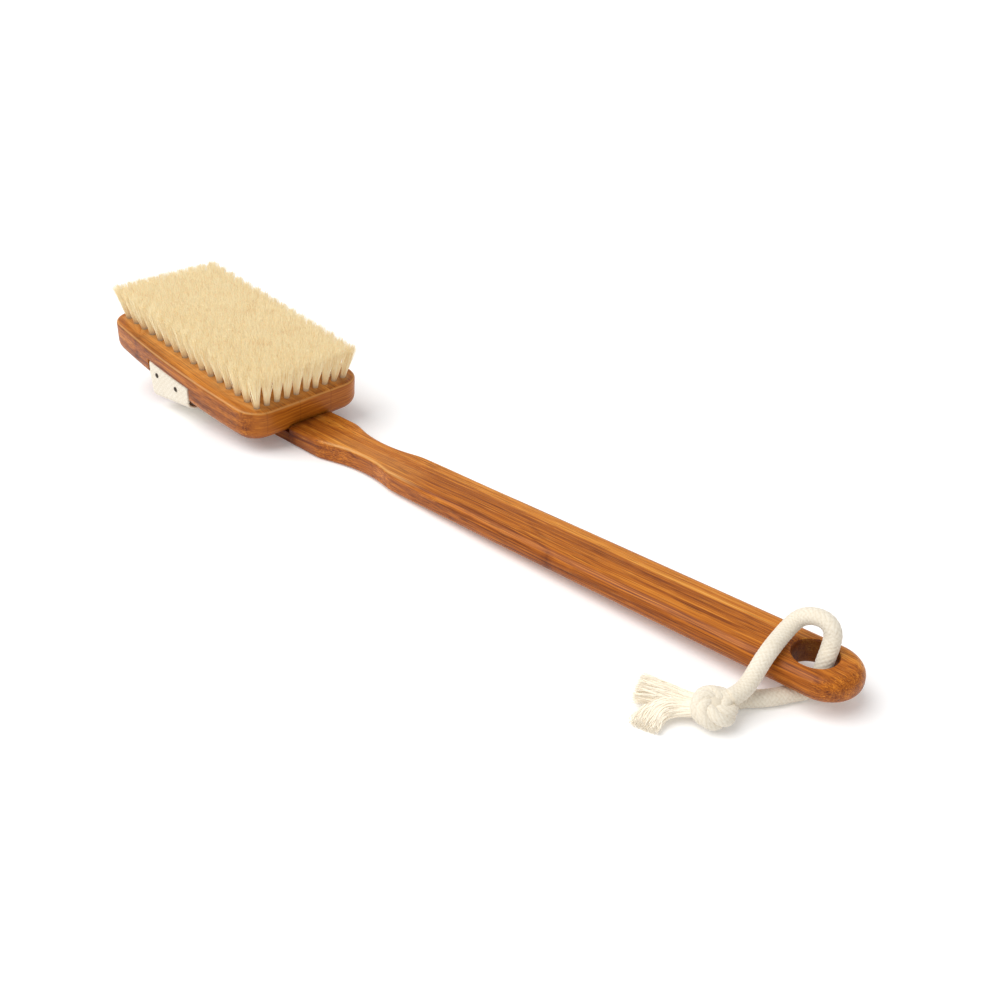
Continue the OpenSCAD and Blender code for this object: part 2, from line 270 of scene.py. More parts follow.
class Mat:
    def __init__(self, name, roughness=0.5, **sockets):
        self.m = bpy.data.materials.new(name)
        self.m.use_nodes = True
        self.nt = self.m.node_tree
        self.p = self.nt.nodes["Principled BSDF"]
        self.p.inputs["Roughness"].default_value = roughness
        for k, v in sockets.items():
            self.p.inputs[k.replace("_", " ")].default_value = v

    def n(self, kind, **settings):
        node = self.nt.nodes.new("ShaderNode" + kind)
        for k, v in settings.items():
            setattr(node, k, v)
        return node

    def put(self, value, socket):
        if isinstance(value, bpy.types.NodeSocket):
            self.nt.links.new(value, socket)
        else:
            socket.default_value = value

    def math(self, op, a, b=0.0, c=None, clamp=False):
        node = self.n("Math", operation=op, use_clamp=clamp)
        self.put(a, node.inputs[0])
        self.put(b, node.inputs[1])
        if c is not None:
            self.put(c, node.inputs[2])
        return node.outputs[0]

    def vmath(self, op, a, b=(0, 0, 0)):
        node = self.n("VectorMath", operation=op)
        self.put(a, node.inputs[0])
        self.put(b, node.inputs[1])
        return node.outputs[0]

    def obj(self, rotation=(0, 0, 0), scale=(1, 1, 1)):
        """Object coordinates in mm, turned and then scaled."""
        tc = self.n("TexCoord")
        a = self.n("Mapping")
        self.nt.links.new(tc.outputs["Object"], a.inputs["Vector"])
        a.inputs["Rotation"].default_value = rotation
        a.inputs["Scale"].default_value = (1000, 1000, 1000)
        b = self.n("Mapping")
        self.nt.links.new(a.outputs[0], b.inputs["Vector"])
        b.inputs["Scale"].default_value = scale
        return b.outputs[0]

    def scaled(self, vec, scale):
        node = self.n("Mapping")
        self.nt.links.new(vec, node.inputs["Vector"])
        node.inputs["Scale"].default_value = scale
        return node.outputs[0]

    def noise(self, vec, scale, detail=2.0, rough=0.5, out="Fac", distortion=0.0):
        node = self.n("TexNoise")
        self.nt.links.new(vec, node.inputs["Vector"])
        node.inputs["Scale"].default_value = scale
        node.inputs["Detail"].default_value = detail
        node.inputs["Roughness"].default_value = rough
        node.inputs["Distortion"].default_value = distortion
        return node.outputs[out]

    def ramp(self, fac, stops, ease="LINEAR"):
        node = self.n("ValToRGB")
        self.put(fac, node.inputs["Fac"])
        cr = node.color_ramp
        cr.interpolation = ease
        while len(cr.elements) < len(stops):
            cr.elements.new(0.5)
        for e, (pos, col) in zip(cr.elements, stops):
            e.position = pos
            e.color = col if hasattr(col, "__len__") else (col, col, col, 1)
        return node.outputs["Color"]

    def mix(self, fac, a, b, blend="MIX"):
        node = self.n("Mix", data_type="RGBA", blend_type=blend)
        self.put(fac, node.inputs[0])
        self.put(a, node.inputs[6])
        self.put(b, node.inputs[7])
        return node.outputs[2]

    def bump(self, height, strength, distance, normal=None):
        node = self.n("Bump")
        node.inputs["Strength"].default_value = strength
        node.inputs["Distance"].default_value = distance
        self.put(height, node.inputs["Height"])
        if normal is not None:
            self.put(normal, node.inputs["Normal"])
        return node.outputs[0]

    def attr(self, name):
        return self.n("Attribute", attribute_name=name).outputs["Fac"]


def bamboo(name, rotation, strip, phase, nodes_at, dark=1.0, bands=None, ends=False):
    """Caramelised bamboo: strips with their own tone, fine fibres, dark fibre dashes, node marks, and a thin varnish.
    bands gives tones across the piece, the strips' own tones with painted shade and painted light laid over them, and
    ends turns the grain on faces that look along it."""
    m = Mat(name, 0.38)
    m.p.inputs["Coat Weight"].default_value = 0.06
    m.p.inputs["Coat Roughness"].default_value = 0.25
    m.p.inputs["Specular IOR Level"].default_value = 0.20
    g = m.obj(rotation)
    # the fibres wander a little
    wander = m.noise(m.scaled(g, (0.011, 0.05, 0.05)), 1.0, 2.0, 0.5, "Color")
    off = m.vmath("MULTIPLY", m.vmath("SUBTRACT", wander, (0.5, 0.5, 0.5)), (0.0, 3.2, 3.2))
    g = m.vmath("ADD", g, off)
    sep = m.n("SeparateXYZ")
    m.nt.links.new(g, sep.inputs[0])
    x, y, z = sep.outputs
    # glued strips
    row = m.math("FLOOR", m.math("DIVIDE", m.math("ADD", y, phase), strip))
    tone = m.n("TexWhiteNoise", noise_dimensions="1D")
    m.put(row, tone.inputs["W"])
    tone = tone.outputs["Value"]
    if bands:
        tone = m.ramp(m.math("MULTIPLY_ADD", y, 1 / 30.0, 0.5, clamp=True), bands)
    inside = m.math("ABSOLUTE", m.math("SUBTRACT", m.math("FRACT", m.math("DIVIDE", m.math("ADD", y, phase), strip)), 0.5))
    joint = m.ramp(inside, [(0.0, 0.0), (0.475, 0.0), (0.5, 1.0)])
    # fibres at three widths
    broad = m.noise(m.scaled(g, (0.006, 0.34, 0.34)), 1.0, 3.0, 0.55)
    fine = m.noise(m.scaled(g, (0.018, 2.0, 2.0)), 1.0, 4.0, 0.68)
    hair = m.noise(m.scaled(g, (0.05, 6.5, 6.5)), 1.0, 2.0, 0.6)
    dash = m.noise(m.scaled(g, (0.055, 3.3, 3.3)), 1.0, 1.0, 0.5)
    # node marks, one to a strip at its own place
    shift = m.math("MULTIPLY", tone, 70.0)
    bend = m.math("MULTIPLY", m.noise(m.scaled(g, (0.1, 0.6, 0.6)), 1.0, 2.0, 0.5), 5.0)
    mark = None
    for at in nodes_at:
        d = m.math("ABSOLUTE", m.math("SUBTRACT", m.math("ADD", m.math("ADD", x, shift), bend), at))
        one = m.ramp(m.math("DIVIDE", d, 7.0, clamp=True), [(0.0, 1.0), (0.22, 0.55), (0.6, 0.12), (1.0, 0.0)], "EASE")
        mark = one if mark is None else m.math("MAXIMUM", mark, one)
    value = m.math("MULTIPLY_ADD", broad, 0.80, -0.065)
    value = m.math("MULTIPLY_ADD", fine, 1.10, value)
    value = m.math("MULTIPLY_ADD", hair, 0.42, value)
    value = m.math("MULTIPLY_ADD", tone, 0.24, value)
    value = m.math("SUBTRACT", value, 0.715)
    if bands:
        near = m.ramp(m.math("MULTIPLY_ADD", y, 1 / 30.0, 0.5, clamp=True), [(0.0, 1.0), (0.42, 0.8), (0.52, 0.0)])
        mark = m.math("MULTIPLY", mark, near)
    value = m.math("SUBTRACT", value, m.math("MULTIPLY", mark, 0.15))
    if ends:
        tc = m.n("TexCoord")
        ns = m.n("SeparateXYZ")
        m.nt.links.new(tc.outputs["Normal"], ns.inputs[0])
        facing = m.ramp(m.math("ABSOLUTE", ns.outputs[0]), [(0.45, 0.0), (0.85, 1.0)])
        across = m.noise(m.scaled(g, (0.3, 0.035, 1.2)), 1.0, 4.0, 0.6)
        grain = m.math("MULTIPLY_ADD", across, 0.75, 0.10)
        value = m.math("MULTIPLY_ADD", facing, m.math("SUBTRACT", grain, value), value)
        dash = m.math("MULTIPLY_ADD", facing, m.math("SUBTRACT", 0.5, dash), dash)
    col = m.ramp(value, [
        (0.12, lin(92 * dark, 38 * dark, 4 * dark)), (0.32, lin(146 * dark, 74 * dark, 10 * dark)),
        (0.50, lin(184 * dark, 104 * dark, 24 * dark)), (0.66, lin(208 * dark, 130 * dark, 40 * dark)),
        (0.88, lin(234 * dark, 168 * dark, 80 * dark))])
    dashes = m.ramp(dash, [(0.0, 1.0), (0.33, 1.0), (0.40, 0.0), (1.0, 0.0)])
    col = m.mix(m.math("MULTIPLY", dashes, 0.70), col, lin(88, 38, 6))
    # painted highlight along the rounded edges, painted shade in the corner under the head and on the drilled wall
    col = m.mix(m.math("MULTIPLY", m.attr("painted_edge_highlight"), 0.55), col, lin(240, 186, 112))
    col = m.mix(m.math("MULTIPLY", m.attr("painted_shade"), 0.72), col, lin(78, 26, 4))
    col = m.mix(m.math("MULTIPLY", joint, 0.30), col, lin(116, 56, 14))
    pale = m.ramp(dash, [(0.0, 0.0), (0.66, 0.0), (0.76, 1.0), (1.0, 1.0)])
    col = m.mix(m.math("MULTIPLY", pale, 0.30), col, lin(242, 182, 98))
    m.put(col, m.p.inputs["Base Color"])
    rough = m.math("MULTIPLY_ADD", fine, 0.22, 0.30)
    rough = m.math("MULTIPLY_ADD", dashes, 0.10, rough)
    m.put(rough, m.p.inputs["Roughness"])
    h = m.math("MULTIPLY_ADD", hair, 0.5, m.math("MULTIPLY", fine, 0.6))
    h = m.math("SUBTRACT", h, m.math("MULTIPLY", dashes, 0.35))
    h = m.math("SUBTRACT", h, m.math("MULTIPLY", joint, 0.3))
    m.put(m.bump(h, 0.45, 0.00012), m.p.inputs["Normal"])
    return m.m


def bristle_material():
    m = Mat("bristle_hair", 0.42)
    m.p.inputs["Specular IOR Level"].default_value = 0.30
    # painted glow: a constant emission stands in for light that comes through from hair to hair
    m.p.inputs["Emission Color"].default_value = (1.0, 0.80, 0.52, 1.0)
    m.p.inputs["Emission Strength"].default_value = 0.17
    along = m.attr("along")
    tone = m.attr("tone")
    # darker towards the root: painted shade and painted reflected wood colour low among the tufts; higher up the
    # bristles' own cream
    col = m.ramp(along, [
        (0.0, lin(150, 104, 54)), (0.07, lin(196, 158, 104)), (0.16, lin(236, 218, 176)), (0.45, lin(248, 242, 218)),
        (0.80, lin(243, 234, 204)), (1.0, lin(238, 225, 190))])
    tint = m.ramp(tone, [
        (0.0, lin(206, 168, 108)), (0.18, lin(238, 216, 172)), (0.5, lin(255, 250, 234)), (1.0, lin(255, 255, 252))])
    col = m.mix(0.8, col, tint, "MULTIPLY")
    fleck = m.noise(m.obj(scale=(3, 3, 0.6)), 1.0, 2.0, 0.6)
    col = m.mix(m.math("MULTIPLY", fleck, 0.06), col, lin(246, 222, 176))
    m.put(col, m.p.inputs["Base Color"])
    m.put(m.math("MULTIPLY_ADD", fleck, 0.2, 0.34), m.p.inputs["Roughness"])
    return m.m


def cotton_material(name, warm=1.0, fibre=2.4):
    m = Mat(name, 0.92)
    m.p.inputs["Specular IOR Level"].default_value = 0.15
    m.p.inputs["Sheen Weight"].default_value = 0.35
    m.p.inputs["Sheen Roughness"].default_value = 0.6
    g = m.obj()
    cloud = m.noise(g, 0.12, 3.0, 0.6)
    fuzz = m.noise(g, fibre, 4.0, 0.65)
    fine = m.noise(g, fibre * 4.5, 2.0, 0.6)
    low = m.attr("low")
    col = m.ramp(m.math("MULTIPLY_ADD", fuzz, 0.6, m.math("MULTIPLY", cloud, 0.4)), [
        (0.25, lin(230 * warm, 217 * warm, 194 * warm)), (0.5, lin(241 * warm, 231 * warm, 212 * warm)),
        (0.75, lin(250 * warm, 243 * warm, 229 * warm))])
    # painted shade: darker in the grooves of the braid and weave and on the knot's middle, from low; in the frayed ends
    # low only darkens some yarns at random
    col = m.mix(m.math("MULTIPLY", low, 0.55), col, lin(204 * warm, 186 * warm, 154 * warm))
    m.put(col, m.p.inputs["Base Color"])
    m.put(m.math("MULTIPLY_ADD", fine, 0.12, 0.84), m.p.inputs["Roughness"])
    h = m.math("MULTIPLY_ADD", fuzz, 0.6, m.math("MULTIPLY", fine, 0.5))
    m.put(m.bump(h, 0.5, 0.00018), m.p.inputs["Normal"])
    return m.m


def steel_material(name, base, rough, rust):
    m = Mat(name, rough, Metallic=1.0)
    g = m.obj()
    a = m.noise(g, 1.4, 4.0, 0.6)
    b = m.noise(m.scaled(g, (8, 1, 8)), 1.0, 3.0, 0.6)
    col = m.mix(m.math("MULTIPLY", m.ramp(a, [(0.45, 0.0), (0.7, 1.0)]), rust), base, lin(92, 62, 40))
    m.put(col, m.p.inputs["Base Color"])
    m.put(m.math("MULTIPLY_ADD", b, 0.25, rough - 0.1), m.p.inputs["Roughness"])
    m.put(m.bump(b, 0.3, 0.00005), m.p.inputs["Normal"])
    return m.m


def dress(ob, mat, body, slot, *nodes):
    ob.data.materials.clear()
    ob.data.materials.append(mat)
    if nodes:
        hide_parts(*nodes)
    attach(ob, body)
    return ob


# ---------------------------------------------------------------- camera

AZ, EL, DIST = math.radians(43.96), math.radians(30.27), 0.41497
TARGET = Vector((0.05531, -0.00461, 0.02019))
cam_data = bpy.data.cameras.new("camera")
cam_data.lens, cam_data.sensor_width = 36.0, 36.0
cam_data.clip_start, cam_data.clip_end = 0.01, 50
camera = bpy.data.objects.new("camera", cam_data)
SCENE.collection.objects.link(camera)
back = Vector((math.sin(AZ) * math.cos(EL), -math.cos(AZ) * math.cos(EL), math.sin(EL)))
camera.location = TARGET + DIST * back
camera.rotation_euler = back.to_track_quat("Z", "Y").to_euler()
SCENE.camera = camera

COTTON = cotton_material("cotton_webbing_yarn", 0.97)
FRAY_COTTON = cotton_material("cotton_frayed_yarn", 1.0)
FRAY_PRINCIPLED = FRAY_COTTON.node_tree.nodes["Principled BSDF"]
# painted glow: a constant emission lightens the frayed yarns, standing in for light that comes through them
FRAY_PRINCIPLED.inputs["Emission Color"].default_value = (1.0, 0.93, 0.80, 1.0)
FRAY_PRINCIPLED.inputs["Emission Strength"].default_value = 0.12
CORD_COTTON = cotton_material("cord_cotton_yarn", 0.965, fibre=1.8)

# ---------------------------------------------------------------- cord

CORD_D = 6.0
KNOT = np.array([182.8, -36.9, 7.05])
ROUTE = [
    [182.2, -31.2, 4.3], [182.7, -28.2, 3.4], [183.7, -25.2, 3.05], [185.0, -22.7, 3.05],
    [186.6, -20.7, 3.05], [188.4, -18.8, 3.05], [190.2, -16.7, 3.05], [191.9, -14.4, 3.05],
    [193.4, -12.0, 3.05], [194.8, -9.6, 3.05], [196.3, -7.0, 3.05], [198.1, -4.5, 3.25],
    [199.7, -2.7, 4.9], [200.7, -1.6, 8.0], [201.1, -0.8, 12.0], [201.1, 0.7, 16.0],
    [200.9, 2.7, 19.4], [200.5, 4.1, 22.6], [199.4, 4.6, 25.2], [197.1, 4.8, 26.9],
    [194.2, 4.7, 27.2], [191.2, 4.4, 26.4], [188.6, 3.6, 24.7], [187.1, 1.4, 22.7],
    [186.6, -2.4, 21.0], [186.7, -7.2, 20.0], [187.1, -12.2, 19.2], [187.0, -15.9, 17.1],
    [186.9, -18.9, 14.6], [186.9, -22.2, 12.3], [186.8, -25.6, 10.8], [186.2, -28.8, 10.0],
    [185.3, -31.8, 9.6]]
TAIL_A = [[176.8, -36.6, 5.6], [172.6, -37.2, 4.5], [168.6, -38.2, 4.1], [164.4, -39.4, 4.2],
          [160.2, -40.6, 4.3], [156.2, -41.9, 4.4]]
TAIL_B = [[177.6, -39.6, 5.4], [173.2, -42.0, 4.4], [170.4, -44.4, 4.1], [168.5, -47.2, 4.2],
          [167.5, -50.2, 4.3], [167.4, -53.2, 4.4], [168.0, -55.8, 4.4]]


def braid(carriers, pitch, depth):
    """Relief of a braided cover: two sets of strands that cross over and under."""

    def f(ang, s):
        u = ang / (2 * math.pi) * carriers + s / pitch
        v = ang / (2 * math.pi) * carriers - s / pitch
        a = np.sin(math.pi * (u % 1)) ** 0.7
        b = np.sin(math.pi * (v % 1)) ** 0.7
        over = (np.floor(u) + np.floor(v)) % 2 == 0
        h = np.where(over, np.maximum(a, 0.45 * b), np.maximum(b, 0.45 * a))
        return depth * (h - 1.0)

    return f


def low_of(v_count, relief_values, depth):
    return np.clip(-relief_values / depth, 0, 1)


def cord_tube(points, radius, sides=48, step=0.36, carriers=8, pitch=1.55, depth=0.34, seed=(0, 0, 1)):
    p, s = even(points, step)
    relief = braid(carriers, pitch, depth)
    v, quads, caps = tube_grid(p, radius if np.isscalar(radius) else np.interp(s, np.linspace(0, s[-1], len(radius)), radius),
                               sides, relief, seed=seed)
    ang = 2 * math.pi * np.arange(sides) / sides
    # low marks the braid's grooves for the painted shade in the cotton
    low = np.clip(-relief(ang[None, :] + 0 * s[:, None], s[:, None]) / depth, 0, 1)
    return v, [quads, caps], np.concatenate([low.ravel(), [0.5, 0.5]]), p


line = smooth_line(ROUTE, 0.05)
v, polys, low, cord_line = cord_tube(line, CORD_D / 2 + 0.1)
v[:, 2] = np.maximum(v[:, 2], 0.02)
cord = mesh_object("cotton_cord", v, polys, attrs={"low": low})
dress(cord, CORD_COTTON, "handle", "cord_cotton", "hanging_cord")
cord_path, cord_s = even(line, 1.5)

# ---------------------------------------------------------------- knot


def bridge(p0, d0, p1, d1, n=14):
    """Smooth stretch from p0, leaving along d0, to p1, arriving along d1."""
    p0, p1, d0, d1 = (np.asarray(x, float) for x in (p0, p1, d0, d1))
    k = np.linalg.norm(p1 - p0) * 0.9
    d0, d1 = d0 / np.linalg.norm(d0) * k, d1 / np.linalg.norm(d1) * k
    t = np.linspace(0, 1, n)[:, None]
    return (2 * t ** 3 - 3 * t ** 2 + 1) * p0 + (t ** 3 - 2 * t ** 2 + t) * d0 + (3 * t ** 2 - 2 * t ** 3) * p1 + (t ** 3 - t ** 2) * d1


KNOT_MID = np.array([182.5, -36.2, 6.75])


def knot_strands():
    """Overhand knot tied in the doubled cord, pulled tight. Local axes: a from the tails to the loop, b across, c up."""
    a = np.array([6.8, 8.3, 0.0])
    a /= np.linalg.norm(a)
    c = np.array([0.0, 0.0, 1.0])
    b = np.cross(c, a)
    tilt = math.radians(20)
    b2 = b * math.cos(tilt) + c * math.sin(tilt)
    c2 = -b * math.sin(tilt) + c * math.cos(tilt)
    big, small, half = 3.3, 2.1, 1.3
    parts = []
    # where each strand comes in from its frayed end and leaves for the loop
    ins = {-1: np.array(TAIL_A[0]), 1: np.array(TAIL_B[0])}
    outs = {-1: np.array(ROUTE[0]), 1: np.array(ROUTE[-1])}
    for side in (-1, 1):
        phi = np.linspace(0.14, 2 * math.pi - 0.14, 220)
        w = big + small * np.cos(3 * phi)
        # the outer lobe at phi 0 faces along b2, and its two ends run out along a
        q = (w * np.cos(2 * phi))[:, None] * b2 + (w * np.sin(2 * phi))[:, None] * a + (small * 1.08 * np.sin(3 * phi))[:, None] * c2
        t = np.gradient(q, axis=0)
        t /= np.linalg.norm(t, axis=1)[:, None]
        radial = np.cos(2 * phi)[:, None] * b2 + np.sin(2 * phi)[:, None] * a
        flat = np.cross(t, radial * np.cos(3 * phi)[:, None] + np.sin(3 * phi)[:, None] * c2)
        flat /= np.linalg.norm(flat, axis=1)[:, None]
        q = q + side * half * flat
        q = q * np.array([1.0, 1.0, 0.90]) + KNOT_MID
        t = np.gradient(q, axis=0)
        head_in = bridge(ins[side] - a * 1.5, a, q[0], t[0])[:-1]
        head_out = bridge(q[-1], t[-1], outs[side] + a * 1.5, a)[1:]
        parts.append(np.concatenate([head_in, q, head_out]))
    return parts


kn, kl = [], []
for q in knot_strands():
    v, polys, low, _ = cord_tube(q, 2.35, sides=40, step=0.36, depth=0.30, carriers=8, pitch=1.5)
    kn.append((v, polys))
    kl.append(low)
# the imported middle, which closes the gaps between the turns
p = KNOT_MID + np.linspace(-4.4, 4.4, 24)[:, None] * np.array([0.66, 0.75, 0.0])
r = 4.7 * np.sqrt(np.clip(1 - (np.linspace(-1, 1, 24) * 0.985) ** 2, 0.02, 1))
v, quads, caps = tube_grid(p + np.array([0, 0, -0.4]), r, 32)
kn.append((v, [quads, caps]))
# the middle is darkened by low as painted shade between the turns
kl.append(np.full(len(v), 0.7))
v, polys = joined(kn)
v[:, 2] = np.maximum(v[:, 2], 0.05)
knot = mesh_object("cord_overhand_knot", v, polys, attrs={"low": np.concatenate(kl)})
dress(knot, CORD_COTTON, "handle", "cord_cotton", "cord_knot")

# ---------------------------------------------------------------- frayed ends


def fray(name, route, count, r0, r1, node, reach, droop, drift=(0.0, 0.0, 0.0)):
    """Loose yarns that leave the knot side by side and spread towards their cut ends."""
    base = smooth_line(route, 0.1)
    n_pts = 22
    start = route[0] + (np.array(KNOT) - route[0]) * 0.45
    base = np.concatenate([np.linspace(start, base[0], 6)[:-1], base])
    parts, lows = [], []
    for i in range(count):
        d = math.sqrt((i + 0.5) / count)
        th = i * 2.39996
        u, w = d * math.cos(th), d * math.sin(th)
        length = 1.0 - 0.09 * RNG.random() ** 1.5
        p, s = even(base, 0.5)
        t, a, b = carried_frames(p, (0, 0, 1))
        f = s / s[-1]
        keep = f <= length
        p, t, a, b, f, s = (x[keep] for x in (p, t, a, b, f, s))
        spread = r0 + (r1 - r0) * smoothstep(0.05, 1.05, f)
        wav = 0.35 * np.sin(s * (0.35 + 0.25 * RNG.random()) + RNG.uniform(0, 6.28)) * f
        wav2 = 0.35 * np.sin(s * (0.35 + 0.25 * RNG.random()) + RNG.uniform(0, 6.28)) * f
        q = p + a * (w * spread * 0.82 + wav)[:, None] + b * (u * spread * reach + wav2)[:, None]
        q = q + f[:, None] ** 2 * np.array(drift)
        q[:, 2] *= 1 - droop * smoothstep(0.45, 1.0, f)
        q[:, 2] = np.maximum(q[:, 2], 0.4)
        q, _ = even(q, s[-1] / n_pts)
        rad = np.full(len(q), 0.30)
        rad[-1] = 0.20
        v, quads, caps = tube_grid(q, rad, 6)
        parts.append((v, [quads, caps]))
        lows.append(np.full(len(v), 0.22 * RNG.random()))
    # fine loose fibres among the yarns
    for i in range(int(count * 1.1)):
        d = math.sqrt(RNG.random())
        th = RNG.uniform(0, 6.28)
        u, w = d * math.cos(th) * 1.06, d * math.sin(th) * 1.06
        p, s = even(base, 0.8)
        t, a, b = carried_frames(p, (0, 0, 1))
        f = s / s[-1]
        spread = r0 + (r1 - r0) * smoothstep(0.05, 1.05, f)
        wav = 0.8 * np.sin(s * (0.3 + 0.35 * RNG.random()) + RNG.uniform(0, 6.28)) * f
        wav2 = 0.8 * np.sin(s * (0.3 + 0.35 * RNG.random()) + RNG.uniform(0, 6.28)) * f
        q = p + a * (w * spread * 0.82 + wav)[:, None] + b * (u * spread * reach + wav2)[:, None]
        q = q + f[:, None] ** 2 * np.array(drift)
        q[:, 2] *= 1 - droop * smoothstep(0.45, 1.0, f)
        q[:, 2] = np.maximum(q[:, 2], 0.3)
        v, quads, caps = tube_grid(q, 0.11, 4)
        parts.append((v, [quads, caps]))
        lows.append(np.full(len(v), 0.05))
    v, polys = joined(parts)
    ob = mesh_object(name, v, polys, attrs={"low": np.concatenate(lows)})
    return dress(ob, FRAY_COTTON, "handle", "cord_cotton", node)


tail_a = fray("frayed_end_a", np.array(TAIL_A), 150, 2.7, 4.9, "cord_tail_a", 1.25, 0.10, (0.9, -1.6, 0.6))
tail_b = fray("frayed_end_b", np.array(TAIL_B), 150, 2.7, 4.9, "cord_tail_b", 1.05, 0.58, (0.9, 0.9, 0.0))

# ---------------------------------------------------------------- handle

TIP = 215.0
GRIP_LEN = 265.0
HALF_T = 5.25
END_R = 12.9
END_X = GRIP_LEN - END_R        # in the grip's own length


def half_width(x):
    """Half width of the handle at x, in the row frame's mm."""
    d = np.abs(x + 31.5)
    waist = np.where(d < 40, 88.0 - np.sqrt(np.maximum(80.0 ** 2 - d ** 2, 0)), 99.0)
    grip = np.where(x > -31.5, 12.9 - 1.9 / 60 * np.clip(55 - x, 0, 200), 13.1)
    return np.minimum(waist, grip)


def profile_x():
    xs = np.linspace(-84, 220, 1521)
    w = half_width(xs)
    k = np.arange(-60, 61) * (xs[1] - xs[0])
    g = np.exp(-(k / 2.6) ** 2 / 2)
    w = np.convolve(np.pad(w, 60, mode="edge"), g / g.sum(), mode="valid")
    return xs, w


PX, PW = profile_x()


def section(h, r, crown, n_top=17, n_arc=13, n_side=3):
    """Closed ring of a soft-edged section, half width h: (y, z) with z from 0 to twice HALF_T."""
    def quarter(rc):
        a = np.linspace(0, math.pi / 2, n_arc)
        return a
    a = quarter(r)
    pts = []
    # top, from the middle out to +y, round the edge, down the side, and back below
    y_top = np.linspace(-(h - r), h - r, n_top)
    z_top = HALF_T * 2 - crown * (y_top / h) ** 2
    edge_drop = crown * ((h - r) / h) ** 2
    pts += [(y, z) for y, z in zip(y_top, z_top)]
    pts += [(h - r + r * math.sin(t), HALF_T * 2 - edge_drop - r + r * math.cos(t)) for t in a[1:]]
    z0, z1 = HALF_T * 2 - edge_drop - r, r
    pts += [(h, z) for z in np.linspace(z0, z1, n_side + 2)[1:-1]]
    pts += [(h - r + r * math.cos(t), r - r * math.sin(t)) for t in a]
    pts += [(y, 0.0) for y in np.linspace(h - r, -(h - r), n_top)[1:-1]]
    pts += [(-(h - r) - r * math.sin(t), r - r * math.cos(t)) for t in a]
    pts += [(-h, z) for z in np.linspace(z1, z0, n_side + 2)[1:-1]]
    pts += [(-(h - r) - r * math.cos(t), z0 + r * math.sin(t)) for t in a][:-1]
    return np.array(pts)


def edge_radius(x):
    return 2.0 + 2.5 * smoothstep(-15, 60, x)


def crown_at(x):
    return 0.1 + 0.75 * smoothstep(-30, 60, x)


def handle_mesh():
    rings = []
    xs = np.concatenate([np.linspace(-83, -50, 24), np.linspace(-48.5, 10, 52), np.linspace(12, END_X + MITRE_X, 96)])
    for x in xs:
        h = float(np.interp(x, PX, PW))
        r = float(edge_radius(x))
        crown = float(crown_at(x))
        s = section(h, r, crown)
        y, z = s[:, 0], s[:, 1]
        if x <= -50:
            # ends flush with the head's end face, and turns upright over the plate
            lean = (0.25 + (z - LIFT) * math.sin(PITCH)) / math.cos(PITCH)
            k = 1 - smoothstep(-83, -62, x)
            m = float(smoothstep(-62, -50, x))
            turn = -math.tan(SLOPE / 2) * (z - 0) * m
            px = x + lean * k + turn
            rings.append(np.stack([px, y, z], -1))
        else:
            g = np.stack([np.full(len(s), x - MITRE_X), y, z], -1)
            w = on_grip(g)
            k = 1 - smoothstep(-50, -44, x)
            w[:, 0] += math.tan(SLOPE / 2) * z * k
            rings.append(w)
    n = len(rings[0])
    # round end: the last ring's half turned about its middle
    s = section(END_R, float(edge_radius(200)), float(crown_at(200)))
    top = [i for i in range(n) if s[i, 0] >= 0]
    v = [np.concatenate(rings)]
    m = len(rings)
    i, k = np.meshgrid(np.arange(m - 1), np.arange(n), indexing="ij")
    k2 = (k + 1) % n
    quads = [np.stack([i * n + k, (i + 1) * n + k, (i + 1) * n + k2, i * n + k2], -1).reshape(-1, 4)]
    cap = [np.arange(n)[None]]
    # the +y half of the last ring, from the top's middle to the bottom's middle
    arc = 40
    half = s[s[:, 0] > 1e-6]
    half = half[np.argsort(-np.arctan2(half[:, 1] - HALF_T, half[:, 0]))]
    prof = np.concatenate([[[0.0, HALF_T * 2]], half, [[0.0, 0.0]]])
    cols = []
    for j in range(arc + 1):
        t = -math.pi / 2 + math.pi * j / arc      # from -y round to +y
        g = np.stack([END_X + prof[:, 0] * math.cos(t), prof[:, 0] * math.sin(t), prof[:, 1]], -1)
        cols.append(on_grip(g))
    cols = np.array(cols)
    base = sum(len(q) for q in v)
    v.append(cols.reshape(-1, 3))
    c = len(prof)
    i, k = np.meshgrid(np.arange(arc), np.arange(c - 1), indexing="ij")
    quads.append(np.stack([base + i * c + k, base + i * c + k + 1, base + (i + 1) * c + k + 1, base + (i + 1) * c + k], -1).reshape(-1, 4))
    return np.concatenate(v), quads, cap


v, quads, cap = handle_mesh()
handle = mesh_object("bamboo_handle", v, quads + cap)
bm = bmesh.new()
bm.from_mesh(handle.data)
bmesh.ops.remove_doubles(bm, verts=bm.verts, dist=1e-5)
bmesh.ops.dissolve_degenerate(bm, edges=bm.edges, dist=1e-6)
holes = [e for e in bm.edges if len(e.link_faces) == 1]
print("handle open edges", len(holes))
bmesh.ops.recalc_face_normals(bm, faces=bm.faces)
bm.to_mesh(handle.data)
bm.free()

# hanging hole with rounded rims
zs = np.concatenate([[-3.0, -0.25], np.linspace(-0.02, 1.6, 9), np.linspace(2.2, 8.3, 5), np.linspace(8.9, 10.52, 9), [10.75, 13.5]])
rim = 1.5


def hole_radius(z):
    e = min(z, HALF_T * 2 - z)
    if e >= rim:
        return 7.7
    if e <= 0:
        return 7.7 + rim
    return 7.7 + rim - math.sqrt(rim ** 2 - (rim - e) ** 2)


